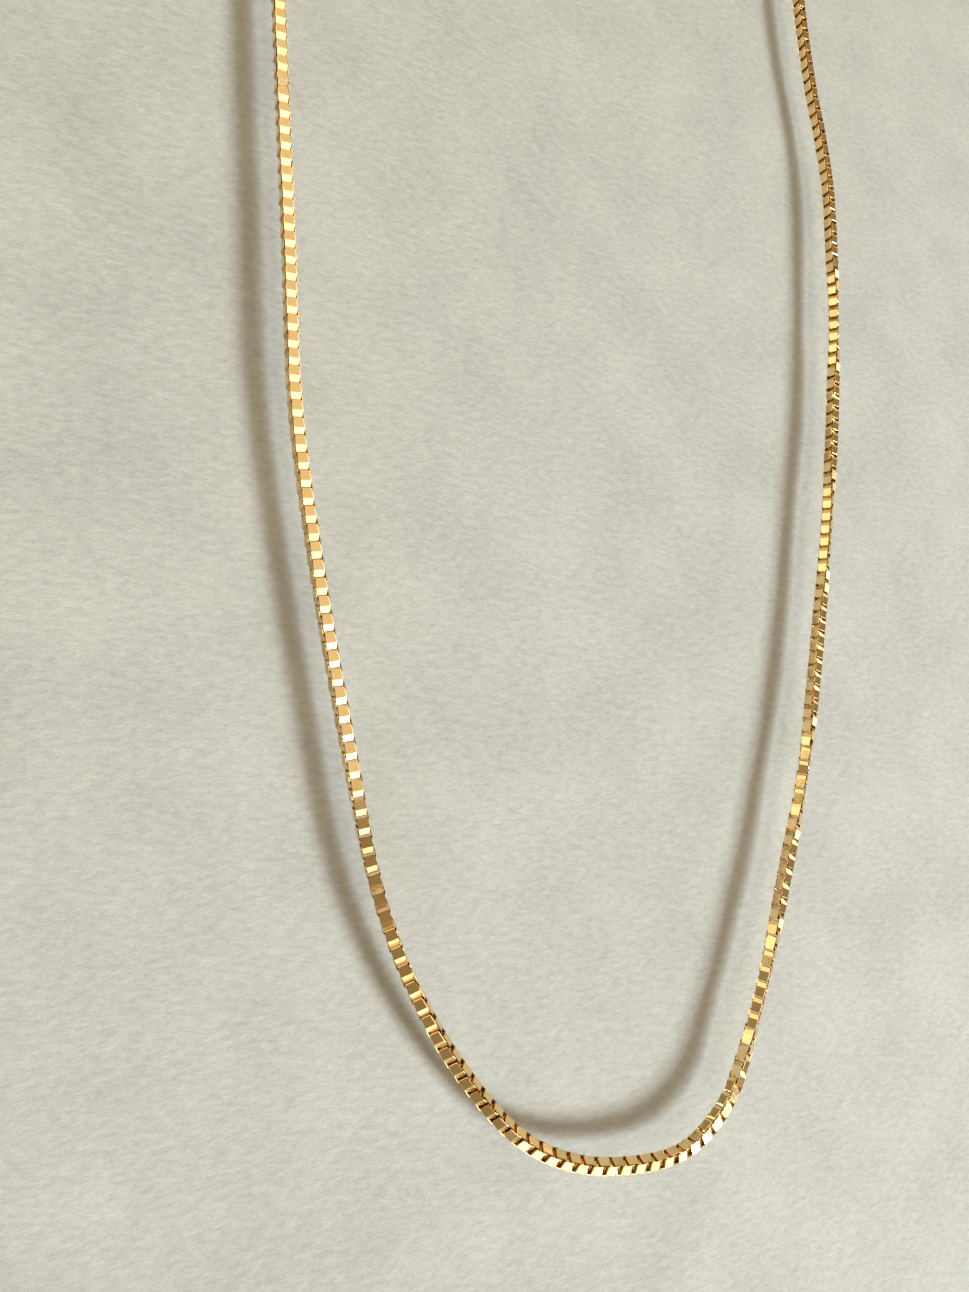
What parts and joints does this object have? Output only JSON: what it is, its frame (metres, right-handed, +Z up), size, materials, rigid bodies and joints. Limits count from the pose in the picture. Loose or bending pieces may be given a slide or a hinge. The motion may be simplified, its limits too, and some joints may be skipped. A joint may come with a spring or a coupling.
{
  "type": "chain necklace",
  "caption": "Fine polished yellow-gold box-link chain necklace, unfastened and laid out flat in a U, with a spring-ring clasp and an end tag.",
  "frame": {"origin": "on the surface that the necklace lies on, under the middle of its bounding box", "axes": "+Z up from the surface, +Y along the two arms from the front of the loop towards the clasp and the tag, +X from the clasp's arm towards the tag's arm"},
  "size_m": [0.0606, 0.1918, 0.0017],
  "materials": {
    "chain_gold": "polished",
    "clasp_gold": "polished",
    "spring_wire": "satin"
  },
  "bodies": {
    "front": {"centre_link": "chain_gold", "front_links_left": "chain_gold", "front_links_right": "chain_gold"},
    "left_run_1": {"left_pivot_1": "chain_gold", "left_links_1": "chain_gold"},
    "left_run_2": {"left_pivot_2": "chain_gold", "left_links_2": "chain_gold"},
    "left_run_3": {"left_pivot_3": "chain_gold", "left_links_3": "chain_gold"},
    "left_run_4": {"left_pivot_4": "chain_gold", "left_links_4": "chain_gold"},
    "left_run_5": {"left_pivot_5": "chain_gold", "left_links_5": "chain_gold"},
    "left_run_6": {"left_pivot_6": "chain_gold", "left_links_6": "chain_gold"},
    "left_run_7": {"left_pivot_7": "chain_gold", "left_links_7": "chain_gold"},
    "left_run_8": {"left_pivot_8": "chain_gold", "left_links_8": "chain_gold"},
    "left_run_9": {"left_pivot_9": "chain_gold", "left_links_9": "chain_gold"},
    "left_run_10": {"left_pivot_10": "chain_gold", "left_links_10": "chain_gold", "end_ring_left": "clasp_gold"},
    "right_run_1": {"right_pivot_1": "chain_gold", "right_links_1": "chain_gold"},
    "right_run_2": {"right_pivot_2": "chain_gold", "right_links_2": "chain_gold"},
    "right_run_3": {"right_pivot_3": "chain_gold", "right_links_3": "chain_gold"},
    "right_run_4": {"right_pivot_4": "chain_gold", "right_links_4": "chain_gold"},
    "right_run_5": {"right_pivot_5": "chain_gold", "right_links_5": "chain_gold"},
    "right_run_6": {"right_pivot_6": "chain_gold", "right_links_6": "chain_gold"},
    "right_run_7": {"right_pivot_7": "chain_gold", "right_links_7": "chain_gold"},
    "right_run_8": {"right_pivot_8": "chain_gold", "right_links_8": "chain_gold"},
    "right_run_9": {"right_pivot_9": "chain_gold", "right_links_9": "chain_gold"},
    "right_run_10": {"right_pivot_10": "chain_gold", "right_links_10": "chain_gold", "end_ring_right": "clasp_gold"},
    "clasp": {"clasp_body": "clasp_gold", "clasp_eyelet": "clasp_gold", "clasp_spring": "spring_wire"},
    "bolt": {"clasp_bolt": "clasp_gold", "clasp_trigger": "clasp_gold"},
    "tag": {"end_tag": "clasp_gold"}
  },
  "joints": [
    {"name": "left_bend_1", "type": "hinge", "parent": "front", "child": "left_run_1", "pos_m": [-0.0143, -0.08699, 0.00061], "axis": [0, 0, 1], "range_deg": [-10, 10]},
    {"name": "left_bend_2", "type": "hinge", "parent": "left_run_1", "child": "left_run_2", "pos_m": [-0.02112, -0.07087, 0.00055], "axis": [0, 0, 1], "range_deg": [-10, 10]},
    {"name": "left_bend_3", "type": "hinge", "parent": "left_run_2", "child": "left_run_3", "pos_m": [-0.02405, -0.05348, 0.0005], "axis": [0, 0, 1], "range_deg": [-10, 10]},
    {"name": "left_lift_4", "type": "hinge", "parent": "left_run_3", "child": "left_run_4", "pos_m": [-0.02583, -0.03595, 0.0005], "axis": [0.9997, 0.0247, 0], "range_deg": [0, 10]},
    {"name": "left_bend_5", "type": "hinge", "parent": "left_run_4", "child": "left_run_5", "pos_m": [-0.02635, -0.01831, 0.0005], "axis": [0, 0, 1], "range_deg": [-10, 10]},
    {"name": "left_bend_6", "type": "hinge", "parent": "left_run_5", "child": "left_run_6", "pos_m": [-0.02703, -0.00069, 0.0005], "axis": [0, 0, 1], "range_deg": [-10, 10]},
    {"name": "left_bend_7", "type": "hinge", "parent": "left_run_6", "child": "left_run_7", "pos_m": [-0.02855, 0.01688, 0.0005], "axis": [0, 0, 1], "range_deg": [-10, 10]},
    {"name": "left_lift_8", "type": "hinge", "parent": "left_run_7", "child": "left_run_8", "pos_m": [-0.02974, 0.03448, 0.0005], "axis": [0.9998, 0.0218, 0], "range_deg": [0, 10]},
    {"name": "left_bend_9", "type": "hinge", "parent": "left_run_8", "child": "left_run_9", "pos_m": [-0.02835, 0.05203, 0.0005], "axis": [0, 0, 1], "range_deg": [-10, 10]},
    {"name": "left_bend_10", "type": "hinge", "parent": "left_run_9", "child": "left_run_10", "pos_m": [-0.02441, 0.06921, 0.0005], "axis": [0, 0, 1], "range_deg": [-10, 10]},
    {"name": "right_bend_1", "type": "hinge", "parent": "front", "child": "right_run_1", "pos_m": [0.01271, -0.08381, 0.00061], "axis": [0, 0, 1], "range_deg": [-10, 10]},
    {"name": "right_bend_2", "type": "hinge", "parent": "right_run_1", "child": "right_run_2", "pos_m": [0.01906, -0.06736, 0.00061], "axis": [0, 0, 1], "range_deg": [-10, 10]},
    {"name": "right_bend_3", "type": "hinge", "parent": "right_run_2", "child": "right_run_3", "pos_m": [0.0236, -0.05032, 0.00058], "axis": [0, 0, 1], "range_deg": [-10, 10]},
    {"name": "right_lift_4", "type": "hinge", "parent": "right_run_3", "child": "right_run_4", "pos_m": [0.02723, -0.03306, 0.00052], "axis": [0.9865, -0.1636, 0], "range_deg": [0, 10]},
    {"name": "right_bend_5", "type": "hinge", "parent": "right_run_4", "child": "right_run_5", "pos_m": [0.02938, -0.01556, 0.00052], "axis": [0, 0, 1], "range_deg": [-10, 10]},
    {"name": "right_bend_6", "type": "hinge", "parent": "right_run_5", "child": "right_run_6", "pos_m": [0.02877, 0.00202, 0.00051], "axis": [0, 0, 1], "range_deg": [-10, 10]},
    {"name": "right_bend_7", "type": "hinge", "parent": "right_run_6", "child": "right_run_7", "pos_m": [0.02846, 0.01964, 0.0005], "axis": [0, 0, 1], "range_deg": [-10, 10]},
    {"name": "right_lift_8", "type": "hinge", "parent": "right_run_7", "child": "right_run_8", "pos_m": [0.02926, 0.03726, 0.0005], "axis": [0.9994, -0.0353, 0], "range_deg": [0, 10]},
    {"name": "right_bend_9", "type": "hinge", "parent": "right_run_8", "child": "right_run_9", "pos_m": [0.0286, 0.05488, 0.0005], "axis": [0, 0, 1], "range_deg": [-10, 10]},
    {"name": "right_bend_10", "type": "hinge", "parent": "right_run_9", "child": "right_run_10", "pos_m": [0.02542, 0.07222, 0.0005], "axis": [0, 0, 1], "range_deg": [-10, 10]},
    {"name": "clasp_swing", "type": "hinge", "parent": "left_run_10", "child": "clasp", "pos_m": [-0.02328, 0.08829, 0.00084], "axis": [0, 0, 1], "range_deg": [-25, 25]},
    {"name": "bolt_draw", "type": "hinge", "parent": "clasp", "child": "bolt", "pos_m": [-0.02328, 0.09213, 0.00065], "axis": [0, 0, 1], "range_deg": [0, 60], "stiffness_Nm_per_rad": 0.0005, "springref_deg": -17.19, "deforming": ["clasp_spring"]},
    {"name": "tag_swing", "type": "hinge", "parent": "right_run_10", "child": "tag", "pos_m": [0.02472, 0.09134, 0.00084], "axis": [0, 0, 1], "range_deg": [-25, 25]}
  ]
}
